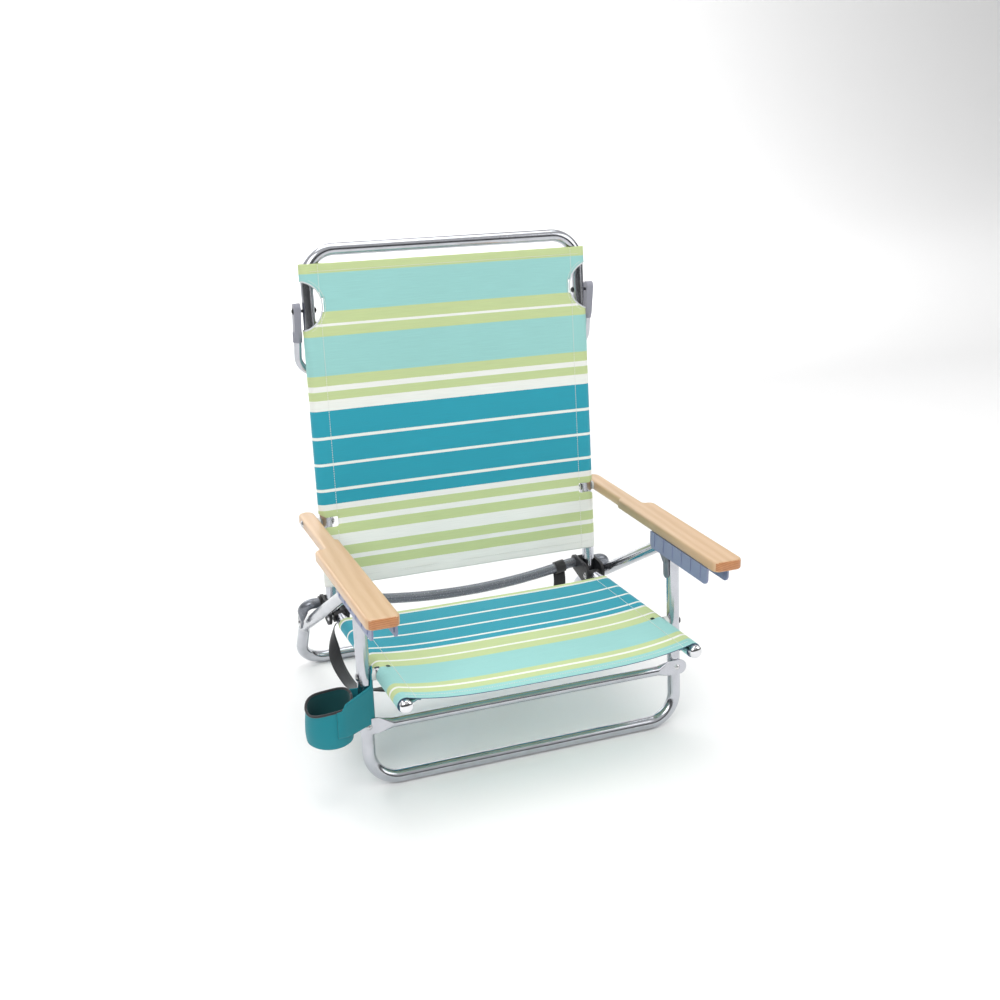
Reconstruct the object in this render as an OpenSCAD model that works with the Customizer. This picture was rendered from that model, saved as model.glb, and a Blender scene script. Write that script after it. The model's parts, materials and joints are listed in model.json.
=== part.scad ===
// Folding beach chair: tube frame, sling seat and back, wooden armrests, towel bar and cup holder.
// Millimetres. +Z is up, the sitter faces -Y, and X runs across the chair.
// The origin lies on the floor in the middle plane, 299 mm behind the front floor bar.

/* [Frame tubes] */
// Diameter of the bent aluminium frame tubes
tube_d = 25.4; // [24:0.1:25.6]
// Wall thickness of the frame tubes
tube_wall = 1.3; // [1:0.1:2]
// Centre-line radius of the frame corners
corner_r = 58; // [50:1:62]
// Half the distance between the seat rails
rail_x = 287; // [286:0.5:288]
// Half the distance between the back uprights
back_x = 291; // [290.5:0.5:292]
// Half the distance between the front leg tubes
front_x = 321.6; // [321:0.2:322]
// Half the distance between the rear leg tubes
rear_x = 327.5; // [327:0.5:328]

/* [Seat and back] */
// Height of the back frame's top tube
back_top_z = 930; // [900:5:960]
// Lean of the back from upright, in degrees
back_lean = 8.1; // [7:0.1:9]
// Lean of the front legs from upright, in degrees
leg_lean = 6.57; // [6:0.01:7]
// Thickness of the sling fabric
fabric_t = 2; // [1.5:0.1:2.2]

/* [Armrests] */
// Thickness of the wooden armrest boards
board_t = 21; // [18:1:22]
// Width of the armrest boards
board_w = 61; // [56:1:64]
// Length of the board in front of its pivot
board_front = 536; // [520:2:540]
// Number of reclining notches in each armrest channel
notches = 5; // [3:1:5]
// Distance between two notches
notch_pitch = 36; // [30:1:36]

/* [Cup holder] */
// Inside radius of the cup holder
cup_r = 42.5; // [40:0.5:43]
// Depth of the cup holder
cup_h = 84; // [70:1:90]

/* [Hidden] */

$fn = 64;
tube_r = tube_d / 2;
run = 0.05;
gap = 0.3;
splice_gap = 0.02;
sleeve_in = tube_r + gap;
sleeve_out = sleeve_in + fabric_t;

// Joint places in the side view, as [y, z]
hinge_o = [24, 206];
bar_q = [82, 215.5];
leg_s = [-274.9, 220.8];
scissor_p = [-230, 374.5];
bar_end_r = [110, 163.7];
rear_bend = [173, 124.5];
rear_foot = [235, tube_r];
front_foot = [-299, tube_r];
back_foot = [53.2, 200];
front_leg_len = 366;
rail_front = [-426, 227.9];

// Places worked out along the leaning tubes
function on_front_leg(z) = front_foot + (z - tube_r) * [tan(leg_lean), 1];
function on_back(z) = back_foot + (z - back_foot[1]) * [tan(back_lean), 1];
notch_n = on_front_leg(366);
arm_a = on_back(394);
towel_t = on_back(816);
rail_slope = atan2(rail_front[1] - hinge_o[1], hinge_o[0] - rail_front[0]);
board_tilt = -1.55;
board_in = 300;
neck_w = 32;

// ---------- shared shapes ----------

function unit(v) = v / norm(v);

// A solid cylinder from one point to another
module rod(a, b, r) {
    d = b - a;
    translate(a)
        rotate([0, acos(d[2] / norm(d)), atan2(d[1], d[0])])
            cylinder(h = norm(d), r = r);
}

// A cylinder along X through a side-view place
module cross_pin(place, x0, x1, r) {
    translate([x0, place[0], place[1]])
        rotate([0, 90, 0])
            cylinder(h = x1 - x0, r = r);
}

// A pin inside a bar, or a ring inside a tube's wall, that joins two pieces of it
module splice_pin(at, u, r, wall = 0) {
    difference() {
        rod(at - 3 * u, at + 3 * u, wall > 0 ? r - wall / 4 : r - 0.5);
        if (wall > 0)
            rod(at - 4 * u, at + 4 * u, r - 3 * wall / 4);
    }
}

// A tube bent round the middle points of a path, solid or with a wall. With a splice the
// pieces stand that far apart and are joined by pins, for a path that turns out of plane.
module bent_tube(path, bend, r, wall = 0, splice = 0) {
    last = len(path) - 1;
    turn = [for (i = [1 : last - 1])
        acos(unit(path[i] - path[i - 1]) * unit(path[i + 1] - path[i]))];
    cut = [-splice, for (t = turn) bend * tan(t / 2), -splice];
    for (i = [0 : last - 1]) {
        u = unit(path[i + 1] - path[i]);
        a = path[i] + (cut[i] + splice) * u;
        b = path[i + 1] - (cut[i + 1] + splice) * u;
        difference() {
            rod(a, b, r);
            if (wall > 0)
                rod(a - u, b + u, r - wall);
        }
        if (splice > 0 && i > 0)
            splice_pin(a, u, r, wall);
        if (splice > 0 && i < last - 1)
            splice_pin(b, u, r, wall);
    }
    for (i = [1 : last - 1])
        tube_bend(path[i - 1], path[i], path[i + 1], turn[i - 1], bend, r, wall);
}

// One bend of a tube at the middle of three points
module tube_bend(p0, p1, p2, turn, bend, r, wall) {
    u = unit(p1 - p0);
    v = unit(p2 - p1);
    n = unit(cross(u, v));
    out = cross(u, n);
    c = p1 - bend * tan(turn / 2) * u - bend * out;
    multmatrix([[out[0], u[0], n[0], c[0]],
                [out[1], u[1], n[1], c[1]],
                [out[2], u[2], n[2], c[2]],
                [0, 0, 0, 1]])
        rotate_extrude(angle = turn)
            translate([bend, 0])
                difference() {
                    circle(r = r);
                    if (wall > 0)
                        circle(r = r - wall);
                }
}

// A flat link round two places in the side view
module link_2d(a, ra, b, rb) {
    d = b - a;
    along = atan2(d[1], d[0]);
    side = acos((ra - rb) / norm(d));
    translate(a) circle(r = ra);
    translate(b) circle(r = rb);
    polygon([for (s = [side, -side]) a + ra * [cos(along + s), sin(along + s)],
             for (s = [-side, side]) b + rb * [cos(along + s), sin(along + s)]]);
}

// Stand a side-view outline up between two X planes
module side_plate(x0, x1) {
    translate([x0, 0, 0])
        rotate([90, 0, 90])
            linear_extrude(x1 - x0)
                children();
}

module both_sides() {
    children();
    mirror([1, 0, 0]) children();
}

// A domed rivet head on the plane x, facing along X
module dome_head(place, x, r, h, way = 1) {
    translate([x, place[0], place[1]])
        rotate([0, 90 * way, 0])
            rotate_extrude()
                intersection() {
                    translate([0, h - (r * r + h * h) / (2 * h)])
                        circle(r = (r * r + h * h) / (2 * h));
                    square([r, h]);
                }
}

module in_front_leg() {
    translate([0, front_foot[0], front_foot[1]])
        rotate([-leg_lean, 0, 0])
            children();
}

module in_back() {
    translate([0, back_foot[0], back_foot[1]])
        rotate([-back_lean, 0, 0])
            children();
}

module in_arm() {
    translate([0, arm_a[0], arm_a[1]])
        rotate([board_tilt, 0, 0])
            children();
}

// ---------- seat ----------

rail_end = hinge_o + 18 * [-cos(rail_slope), sin(rail_slope)];
function on_rail(y) = [y, hinge_o[1] + (hinge_o[0] - y) * tan(rail_slope)];

module rail_rod(y0, y1, r) {
    a = on_rail(y0);
    b = on_rail(y1);
    rod([rail_x, a[0], a[1]], [rail_x, b[0], b[1]], r);
}

module seat_rails() {
    color("silver")
        both_sides()
            difference() {
                rail_rod(rail_front[0], rail_end[0], tube_r);
                rail_rod(rail_front[0] - 1, rail_end[0] + 1, tube_r - tube_wall);
                cross_pin(leg_s, rail_x - 20, rail_x + 20, 3);
            }
}

module rail_end_caps() {
    color("gainsboro")
        both_sides()
            translate([rail_x, rail_front[0], rail_front[1]])
                rotate([90 - rail_slope, 0, 0])
                    rotate_extrude() {
                        intersection() {
                            scale([1, 0.5])
                                circle(r = tube_r);
                            square([tube_r, tube_r]);
                        }
                        translate([0, -12])
                            square([tube_r - tube_wall, 12]);
                    }
}

module rail_hinge_plugs() {
    color("#26282b")
        both_sides()
            difference() {
                union() {
                    rail_rod(rail_end[0] - 25, rail_end[0], tube_r - tube_wall);
                    difference() {
                        rail_rod(rail_end[0], hinge_o[0], 10.5);
                        cross_pin(hinge_o, rail_x - 14, rail_x - 11, 20);
                        cross_pin(hinge_o, rail_x + 11, rail_x + 14, 20);
                    }
                    cross_pin(hinge_o, rail_x - 12.5, rail_x + 12.5, 11);
                }
                cross_pin(hinge_o, rail_x - 14, rail_x + 14, 4 + run);
            }
}

module leg_pivot_rivets() {
    color("silver")
        both_sides() {
            cross_pin(leg_s, rail_x - tube_r - 1, front_x + tube_r + gap, 3);
            dome_head(leg_s, front_x + tube_r + gap, 7.5, 3.5, 1);
            dome_head(leg_s, rail_x - tube_r - 1, 6.5, 3, -1);
        }
}

module leg_pivot_spacers() {
    color("white")
        both_sides()
            difference() {
                cross_pin(leg_s, rail_x + tube_r + 0.1, front_x - tube_r - 0.2, 11);
                cross_pin(leg_s, rail_x, front_x, 3);
            }
}

seat_y0 = -414;
seat_y1 = -24;

module seat_fabric() {
    a = on_rail(seat_y0);
    b = on_rail(seat_y1);
    color("#9cd6d2")
        difference() {
            union() {
                both_sides()
                    rail_rod(seat_y0, seat_y1, sleeve_out);
                side_plate(-rail_x, rail_x)
                    polygon([a + [0, sleeve_in], b + [0, sleeve_in], b + [0, sleeve_out], a + [0,
                        sleeve_out]]);
            }
            both_sides() {
                rail_rod(seat_y0 - 5, seat_y1 + 5, sleeve_in);
                cross_pin(leg_s, rail_x - 25, rail_x - 8, 15);
                cross_pin(leg_s, rail_x + 8, rail_x + 25, 15);
            }
        }
}

// ---------- front legs ----------

module front_leg_frame() {
    color("silver")
        difference() {
            in_front_leg()
                bent_tube([[-front_x, 0, front_leg_len], [-front_x, 0, 0],
                           [front_x, 0, 0], [front_x, 0, front_leg_len]],
                          corner_r, tube_r, tube_wall);
            both_sides() {
                cross_pin(leg_s, front_x - 20, front_x + 20, 3 + run);
                cross_pin(notch_n, front_x - 20, front_x + 20, 4);
                for (z = [321, 346])
                    cross_pin(on_front_leg(z), front_x - 20, front_x, 2.5);
            }
        }
}

crossbar_h = (127 - tube_r) / cos(leg_lean);
crossbar_r = 9.5;
tab_t = 3;

module front_crossbar() {
    y = -tube_r - tab_t / 2 - 0.1;
    color("silver")
        in_front_leg()
            difference() {
                union() {
                    rod([-276, y, crossbar_h], [276, y, crossbar_h], crossbar_r);
                    both_sides() {
                        hull() {
                            translate([276, y, crossbar_h])
                                rotate([0, 90, 0])
                                    cylinder(h = 0.5, r = crossbar_r, $fn = 32);
                            translate([302, y - tab_t / 2, crossbar_h - 15])
                                cube([1, tab_t, 30]);
                        }
                        translate([302, y - tab_t / 2, crossbar_h - 15])
                            cube([25, tab_t, 30]);
                        translate([327, y + tab_t / 2, crossbar_h])
                            rotate([90, 0, 0])
                                cylinder(h = tab_t, r = 15);
                    }
                }
                both_sides()
                    translate([front_x, y + 10, crossbar_h])
                        rotate([90, 0, 0])
                            cylinder(h = 20, r = 2.5);
            }
}

module crossbar_rivets() {
    y = -tube_r - tab_t - 0.1;
    color("gainsboro")
        in_front_leg()
            both_sides()
                translate([front_x, y, crossbar_h])
                    rotate([90, 0, 0]) {
                        rotate_extrude()
                            intersection() {
                                translate([0, -4.5])
                                    circle(r = 7.5);
                                square([6, 3]);
                            }
                        translate([0, 0, -tab_t - 0.1])
                            cylinder(h = tab_t + 0.1, r = 2.5);
                    }
}

plate_x = front_x - tube_r - 0.1;
plate_t = 3.2;

module leg_top_plates() {
    color("#8d9097")
        both_sides()
            difference() {
                side_plate(plate_x - plate_t, plate_x)
                    union() {
                        link_2d(on_front_leg(321), 9, on_front_leg(366), 9);
                        link_2d(on_front_leg(346), 10, scissor_p, 10);
                    }
                cross_pin(scissor_p, plate_x - 5, plate_x + 5, 4);
                cross_pin(notch_n, plate_x - 5, plate_x + 5, 4);
                for (z = [321, 346])
                    cross_pin(on_front_leg(z), plate_x - 5, plate_x + 5, 2.5);
            }
}

module plate_rivets() {
    color("#5b5e64")
        both_sides()
            for (z = [321, 346]) {
                cross_pin(on_front_leg(z), plate_x - plate_t, front_x - 8, 2.5);
                dome_head(on_front_leg(z), plate_x - plate_t, 5, 1.6, -1);
            }
}

module notch_pins() {
    color("gainsboro")
        both_sides()
            cross_pin(notch_n, 303.5, 342.5, 4);
}

module scissor_pins() {
    color("gainsboro")
        both_sides() {
            cross_pin(scissor_p, plate_x - plate_t, rear_x + 12, 4);
            cross_pin(scissor_p, rear_x + 12, rear_x + 13.5, 7);
        }
}

// ---------- rear legs ----------

rear_top = scissor_p + 13 * unit(rear_bend - scissor_p);

module rear_leg_frame() {
    path = [for (s = [-1, 1]) for (p = s < 0 ? [rear_top, rear_bend, rear_foot]
                                             : [rear_foot, rear_bend, rear_top])
        [s * rear_x, p[0], p[1]]];
    color("silver")
        bent_tube(path, corner_r, tube_r, tube_wall, splice_gap);
}

module rear_leg_eyes() {
    u = unit(rear_bend - scissor_p);
    a = scissor_p + 30 * u;
    color("#26282b")
        both_sides()
            difference() {
                union() {
                    rod([rear_x, scissor_p[0], scissor_p[1]], [rear_x, a[0], a[1]], tube_r - tube_wall);
                    cross_pin(scissor_p, rear_x - 11.5, rear_x + 11.5, 12.5);
                }
                cross_pin(scissor_p, rear_x - 20, rear_x + 20, 4 + run);
            }
}

// ---------- hinge between seat and back ----------

inner_plate = [rail_x - tube_r - 6.3, rail_x - tube_r - 0.5];
outer_plate = [back_x + tube_r + 0.5, back_x + tube_r + 6.3];

module hinge_plates() {
    color("#26282b")
        both_sides()
            difference() {
                union()
                    for (p = [inner_plate, outer_plate])
                        side_plate(p[0], p[1])
                            link_2d([34, 209], 22, bar_q, 17);
                cross_pin(hinge_o, inner_plate[0] - 2, outer_plate[1] + 2, 4);
                cross_pin(bar_q, inner_plate[0] - 2, outer_plate[1] + 2, bar_r + run);
            }
}

module hinge_pins() {
    color("gainsboro")
        both_sides() {
            cross_pin(hinge_o, inner_plate[0], outer_plate[1], 4);
            dome_head(hinge_o, outer_plate[1], 7, 3, 1);
            dome_head(hinge_o, inner_plate[0], 7, 3, -1);
        }
}

// ---------- support bar behind the back ----------

bar_r = 11;
bar_bow = 26;
bar_straight = 262;
bar_bend = 20;
bar_arm_x = 347;
spade_t = 5;
bar_ease = 60;
bar_turn = 2 * atan(bar_bow / bar_straight);
bow_r = bar_straight / sin(bar_turn) - bar_ease;
bar_dir = unit(bar_end_r - bar_q);

// One arc of the bar in the X-Z plane, a hair short at both ends
module bar_arc(x, z, r, from, turn) {
    hair = 0.6 / r;
    translate([x, bar_q[0], z])
        rotate([90, 0, 0])
            rotate([0, 0, from + hair])
                rotate_extrude(angle = turn - 2 * hair)
                    translate([r, 0])
                        circle(r = bar_r);
}

module support_bar() {
    elbow = bar_q + (bar_bend + 3) * bar_dir;
    z_low = bar_q[1] - bar_bow;
    color("#7d8085")
        difference() {
            union() {
                bar_arc(0, z_low + bow_r, bow_r, -90 - bar_turn, 2 * bar_turn);
                both_sides() {
                    bar_arc(bar_straight, bar_q[1] - bar_ease, bar_ease, 90, bar_turn);
                    splice_pin([bow_r * sin(bar_turn), bar_q[0], z_low + bow_r * (1 - cos(bar_turn))],
                               [cos(bar_turn), 0, sin(bar_turn)], bar_r);
                    splice_pin([bar_straight, bar_q[0], bar_q[1]], [1, 0, 0], bar_r);
                    bent_tube([[bar_straight, bar_q[0], bar_q[1]], [bar_arm_x, bar_q[0], bar_q[1]],
                               [bar_arm_x, elbow[0], elbow[1]]], bar_bend, bar_r, 0, splice_gap);
                    bar_spade(elbow);
                }
            }
            both_sides()
                cross_pin(bar_end_r, bar_arm_x - 10, bar_arm_x + 10, 3);
        }
}

// The flattened end of the bar, on the outside of the rear leg
module bar_spade(elbow) {
    flat = bar_q + (bar_bend + 19) * bar_dir;
    inside = elbow - 1.5 * bar_dir;
    hull() {
        rod([bar_arm_x, inside[0], inside[1]],
            [bar_arm_x, elbow[0] + bar_dir[0], elbow[1] + bar_dir[1]], bar_r - 0.4, $fn = 32);
        side_plate(bar_arm_x + 0.3, bar_arm_x + spade_t - 0.3)
            translate(flat)
                circle(r = 12, $fn = 32);
    }
    side_plate(bar_arm_x, bar_arm_x + spade_t)
        link_2d(flat, 13, bar_end_r, 13);
}

module bar_end_rivets() {
    color("gainsboro")
        both_sides() {
            cross_pin(bar_end_r, bar_arm_x - 3, bar_arm_x + spade_t, 3);
            cross_pin(bar_end_r, bar_arm_x - 3, bar_arm_x, 8);
            dome_head(bar_end_r, bar_arm_x + spade_t, 7.5, 3.5, 1);
        }
}

module bar_collars() {
    color("#26282b")
        both_sides()
            difference() {
                cross_pin(bar_q, outer_plate[1] + 0.3, outer_plate[1] + 4.5, 14);
                cross_pin(bar_q, outer_plate[1] - 1, outer_plate[1] + 6, bar_r);
            }
}

// ---------- back ----------

back_len = (back_top_z - back_foot[1]) / cos(back_lean);

module back_frame() {
    color("silver")
        difference() {
            in_back()
                bent_tube([[-back_x, 0, 0], [-back_x, 0, back_len],
                           [back_x, 0, back_len], [back_x, 0, 0]],
                          corner_r, tube_r, tube_wall);
            both_sides() {
                cross_pin(arm_a, back_x - 20, back_x + 20, 4 + run);
                cross_pin(towel_t, back_x - 20, back_x + 20, 3);
            }
        }
}

module bar_saddles() {
    color("#26282b")
        both_sides()
            difference() {
                side_plate(back_x - 12.3, back_x + 12.3) {
                    translate(bar_q)
                        circle(r = 14.5);
                    polygon([on_back(203), on_back(242), bar_q + [6, 13.2], bar_q + [2, -14.3]]);
                }
                in_back()
                    translate([back_x, 0, -60])
                        cylinder(h = 160, r = tube_r);
                cross_pin(bar_q, back_x - 30, back_x + 30, bar_r + run);
            }
}

module upright_end_plugs() {
    color("#26282b")
        in_back()
            both_sides()
                translate([back_x, 0, -1.5]) {
                    cylinder(h = 1.5, r = tube_r);
                    translate([0, 0, 1.5])
                        cylinder(h = 14, r = tube_r - tube_wall);
                }
}

sling_h0 = (255 - back_foot[1]) / cos(back_lean);
sling_h1 = (905 - back_foot[1]) / cos(back_lean);
arm_h = (arm_a[1] - back_foot[1]) / cos(back_lean);
hand_h = 631;
hand_x = 24.4;
hand_r = 49.4;

module back_fabric() {
    top = back_len - corner_r;
    color("#9cd6d2")
        in_back()
            difference() {
                union() {
                    both_sides()
                        translate([back_x, 0, sling_h0])
                            cylinder(h = top - sling_h0, r = sleeve_out);
                    translate([-back_x, -sleeve_out, sling_h0])
                        cube([2 * back_x, fabric_t, sling_h1 - sling_h0]);
                }
                both_sides() {
                    translate([back_x, 0, sling_h0 - 5])
                        cylinder(h = top - sling_h0 + 10, r = sleeve_in);
                    translate([back_x + hand_x, 0, hand_h])
                        rotate([90, 0, 0])
                            cylinder(h = 50, r = hand_r, center = true);
                    translate([back_x + 12, 0, arm_h])
                        rotate([0, 90, 0])
                            cylinder(h = 60, r = 17, center = true);
                }
            }
}

// ---------- towel bar ----------

towel_r = 8;
towel_x = back_x + tube_r + 11.6;
towel_drop = 126;
towel_tilt = 4;

module in_towel() {
    translate([0, towel_t[0], towel_t[1]])
        rotate([towel_tilt, 0, 0])
            children();
}

module towel_bar_pins() {
    color("#26282b")
        both_sides() {
            cross_pin(towel_t, back_x - tube_r - 0.5, towel_x + 7.3, 3);
            dome_head(towel_t, back_x - tube_r - 0.5, 6, 3, -1);
            dome_head(towel_t, towel_x + 7.3, 6.5, 3, 1);
        }
}

module towel_bar() {
    color("silver")
        in_towel()
            bent_tube([[-towel_x, 0, -62], [-towel_x, 0, -towel_drop],
                       [towel_x, 0, -towel_drop], [towel_x, 0, -62]], 34, towel_r, 1.2);
}

module towel_bar_clips() {
    color("#9a9ca3")
        in_towel()
            both_sides()
                difference() {
                    union() {
                        side_plate(towel_x - 7, towel_x + 7)
                            link_2d([0, 6], 10, [0, -50], 9);
                        translate([towel_x, 0, -62])
                            cylinder(h = 20, r = towel_r + 1.6);
                        translate([towel_x, 0, -78])
                            cylinder(h = 16, r = towel_r - 1.2);
                    }
                    rotate([0, 90, 0])
                        cylinder(h = 400, r = 3 + run);
                }
}

// ---------- armrests ----------

module arm_pivot_bolts() {
    color("gainsboro")
        both_sides() {
            cross_pin(arm_a, back_x - tube_r - 1, board_in + 8 + neck_w + 0.3, 4);
            dome_head(arm_a, back_x - tube_r - 1, 8, 4, -1);
            dome_head(arm_a, board_in + 8 + neck_w + 0.3, 8, 4, 1);
        }
}

module arm_spacers() {
    color("white")
        both_sides()
            difference() {
                cross_pin(arm_a, back_x + tube_r + 0.1, board_in + 7.8, 9);
                cross_pin(arm_a, back_x, board_in + 20, 4);
            }
}

// Outline of a board from above: a wide front with a narrow neck at the back
module board_2d() {
    front = -board_front;
    step = -178;
    tail = 28;
    r = 14;
    difference() {
        union() {
            translate([board_in, front + r])
                square([board_w, step - front - 2 * r]);
            translate([board_in + r, front])
                square([board_w - 2 * r, step - front]);
            for (x = [board_in + r, board_in + board_w - r], y = [front + r, step - r])
                translate([x, y])
                    circle(r = r);
            translate([board_in, step - 2 * r])
                square([30, 2 * r + 40]);
            translate([board_in + 8, step])
                square([neck_w, tail - step]);
            translate([board_in + 8 + neck_w / 2, tail])
                circle(r = neck_w / 2);
        }
        translate([board_in - 10, step + 40])
            square([18, 300]);
    }
}

module armrest() {
    in_arm()
        difference() {
            translate([0, 0, -board_t / 2])
                linear_extrude(board_t)
                    board_2d();
            rotate([0, 90, 0])
                cylinder(h = 400, r = 4 + run);
        }
}

module armrest_right() {
    color("#d3b28c")
        armrest();
}

module armrest_left() {
    color("#d3b28c")
        mirror([1, 0, 0])
            armrest();
}

channel_front = -510;
channel_back = -286;
flange_in = [299.6, 303.1];
flange_out = [343, 346.5];
flange_h = 33;
flange_t = 3.5;
rib_t = 1.6;

// Side view of a flange: straight under the board, rounded at its front foot
module flange_2d() {
    r = 12;
    top = -board_t / 2;
    difference() {
        translate([channel_front, top - flange_h])
            square([channel_back - channel_front, flange_h]);
        translate([channel_front, top - flange_h])
            square(r);
        translate([channel_back - 8, top - flange_h])
            square([8, r]);
    }
    translate([channel_front + r, top - flange_h + r])
        circle(r = r);
    translate([channel_back - r, top - flange_h + r])
        circle(r = r);
}

// Side view of the notched rib: one round notch for each reclining place
module rib_2d() {
    top = -board_t / 2;
    first = -337.6;
    last = first - (notches - 1) * notch_pitch;
    difference() {
        translate([last - 18, top - 25])
            square([first - last + 36, 25]);
        for (i = [0 : notches - 1])
            translate([first - i * notch_pitch, top - 26.7])
                circle(r = 13);
    }
}

module arm_channel() {
    top = -board_t / 2;
    in_arm()
        difference() {
            union() {
                for (f = [flange_in, flange_out])
                    side_plate(f[0], f[1])
                        flange_2d();
                translate([flange_in[0], channel_front, top - flange_t])
                    cube([flange_out[1] - flange_in[0], channel_back - channel_front, flange_t]);
                side_plate(flange_in[1], flange_in[1] + rib_t)
                    rib_2d();
                side_plate(flange_out[0] - rib_t, flange_out[0])
                    rib_2d();
                for (x = [flange_in[0] - 1.4, flange_out[1]], i = [0 : 5])
                    translate([x, channel_front + 24 + i * 36, top - 27])
                        cube([1.4, 3, 27]);
            }
            for (y = screw_y)
                translate([323, y, top - 10])
                    cylinder(h = 12, r = 2.5);
        }
}

screw_y = [-498, -400, -300];

module arm_channel_right() {
    color("#7d88a8")
        arm_channel();
}

module arm_channel_left() {
    color("#7d88a8")
        mirror([1, 0, 0])
            arm_channel();
}

module channel_screws() {
    in_arm()
        for (y = screw_y)
            translate([323, y, -board_t / 2 - flange_t]) {
                cylinder(h = flange_t, r = 2.5);
                translate([0, 0, -2.2])
                    cylinder(h = 2.2, r = 5);
            }
}

module channel_screws_right() {
    color("gainsboro")
        channel_screws();
}

module channel_screws_left() {
    color("gainsboro")
        mirror([1, 0, 0])
            channel_screws();
}

// ---------- cup holder on the left front leg ----------

cup_c = [-394, -295];
cup_z = 116;
cup_t = 2.5;

module cup_holder() {
    color("#0d7f8c")
        difference() {
            translate([cup_c[0], cup_c[1], cup_z])
                cylinder(h = cup_h, r = cup_r + cup_t);
            translate([cup_c[0], cup_c[1], cup_z + cup_t])
                cylinder(h = cup_h, r = cup_r);
        }
}

module cup_holder_rim() {
    color("#1c1e20")
        translate([cup_c[0], cup_c[1], cup_z + cup_h])
            rotate_extrude()
                translate([cup_r, 0])
                    square([cup_t + 1, 3]);
}

sleeve_z0 = 122;
sleeve_z1 = 243;

module cup_holder_sleeve() {
    h0 = crossbar_h + 15.8;
    h1 = (sleeve_z1 - tube_r) / cos(leg_lean);
    color("#0d7f8c")
        difference() {
            union() {
                in_front_leg()
                    translate([-front_x, 0, h0])
                        cylinder(h = h1 - h0, r = sleeve_out);
                translate([-352, cup_c[1] - 6, sleeve_z0 + 20])
                    cube([14, 22, 50]);
            }
            in_front_leg()
                translate([-front_x, 0, 0])
                    cylinder(h = 300, r = sleeve_in);
            cross_pin(leg_s, -front_x - 30, -front_x + 30, 13);
            translate([cup_c[0], cup_c[1], 0])
                cylinder(h = 400, r = cup_r + cup_t);
        }
}

// ---------- carry strap ----------

strap_w = 26;
strap_t = 2;
strap_x = [-232, 232];
strap_path = [[-232, 84, 180], [-278, 108, 150], [-290, 66, 100], [-290, -42, 86],
              [-290, -150, 125], [-288, -232, 166], [-262, -258, 174], [-200, -254, 171],
              [-60, -190, 150], [100, -80, 135], [205, 20, 152], [232, 84, 180]];

module carry_strap() {
    color("#17181a")
        for (i = [0 : len(strap_path) - 2])
            strap_run(strap_path[i], strap_path[i + 1]);
}

// One flat run of webbing, standing on edge
module strap_run(a, b) {
    d = b - a;
    flat = norm([d[0], d[1]]);
    translate(a)
        rotate([0, 0, atan2(d[1], d[0])])
            rotate([0, -atan2(d[2], flat), 0]) {
                translate([0, -strap_t / 2, -strap_w / 2])
                    cube([norm(d), strap_t, strap_w]);
                translate([0, 0, -strap_w / 2])
                    cylinder(h = strap_w, r = strap_t / 2);
            }
}

// Height of the bar's centre line below its straight ends
function bar_at(x) = [x, bar_q[0], bar_q[1] - bar_bow + bow_r - sqrt(bow_r * bow_r - x * x)];

module strap_keepers() {
    color("#17181a")
        for (x = strap_x)
            difference() {
                rod(bar_at(x - 11), bar_at(x + 11), bar_r + 2.6);
                rod(bar_at(x - 12), bar_at(x + 12), bar_r + 0.15);
            }
}

// ---------- build ----------

seat_rails();
rail_end_caps();
rail_hinge_plugs();
leg_pivot_rivets();
leg_pivot_spacers();
seat_fabric();
front_leg_frame();
front_crossbar();
crossbar_rivets();
leg_top_plates();
plate_rivets();
notch_pins();
scissor_pins();
rear_leg_frame();
rear_leg_eyes();
hinge_plates();
hinge_pins();
support_bar();
bar_end_rivets();
bar_collars();
back_frame();
bar_saddles();
upright_end_plugs();
back_fabric();
towel_bar_pins();
arm_pivot_bolts();
arm_spacers();
armrest_left();
armrest_right();
arm_channel_left();
arm_channel_right();
channel_screws_left();
channel_screws_right();
towel_bar();
towel_bar_clips();
cup_holder();
cup_holder_rim();
cup_holder_sleeve();
carry_strap();
strap_keepers();
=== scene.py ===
"""Folding beach chair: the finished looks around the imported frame."""

import json
from math import acos, atan2, cos, hypot, pi, radians, sin, sqrt, tan

import bmesh
import bpy
from bpy.props import FloatProperty, FloatVectorProperty, IntProperty, PointerProperty
from mathutils import Matrix, Vector


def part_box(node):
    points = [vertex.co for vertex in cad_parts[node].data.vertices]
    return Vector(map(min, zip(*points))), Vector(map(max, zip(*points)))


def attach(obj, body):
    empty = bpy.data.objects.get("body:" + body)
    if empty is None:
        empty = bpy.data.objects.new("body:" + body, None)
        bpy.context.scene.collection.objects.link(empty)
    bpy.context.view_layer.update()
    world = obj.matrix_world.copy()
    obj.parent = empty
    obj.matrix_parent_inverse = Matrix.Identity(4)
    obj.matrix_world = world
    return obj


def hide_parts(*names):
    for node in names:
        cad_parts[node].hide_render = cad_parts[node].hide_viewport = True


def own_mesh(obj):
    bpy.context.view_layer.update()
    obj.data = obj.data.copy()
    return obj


bl_info = {
    "name": "Folding Beach Chair",
    "version": (1, 0, 0),
    "blender": (4, 5, 0),
    "location": "View3D > Sidebar > Beach Chair",
    "description": "Builds the slings, boards, cup holder, strap and finishes of a folding beach chair",
    "category": "Object",
}

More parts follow.
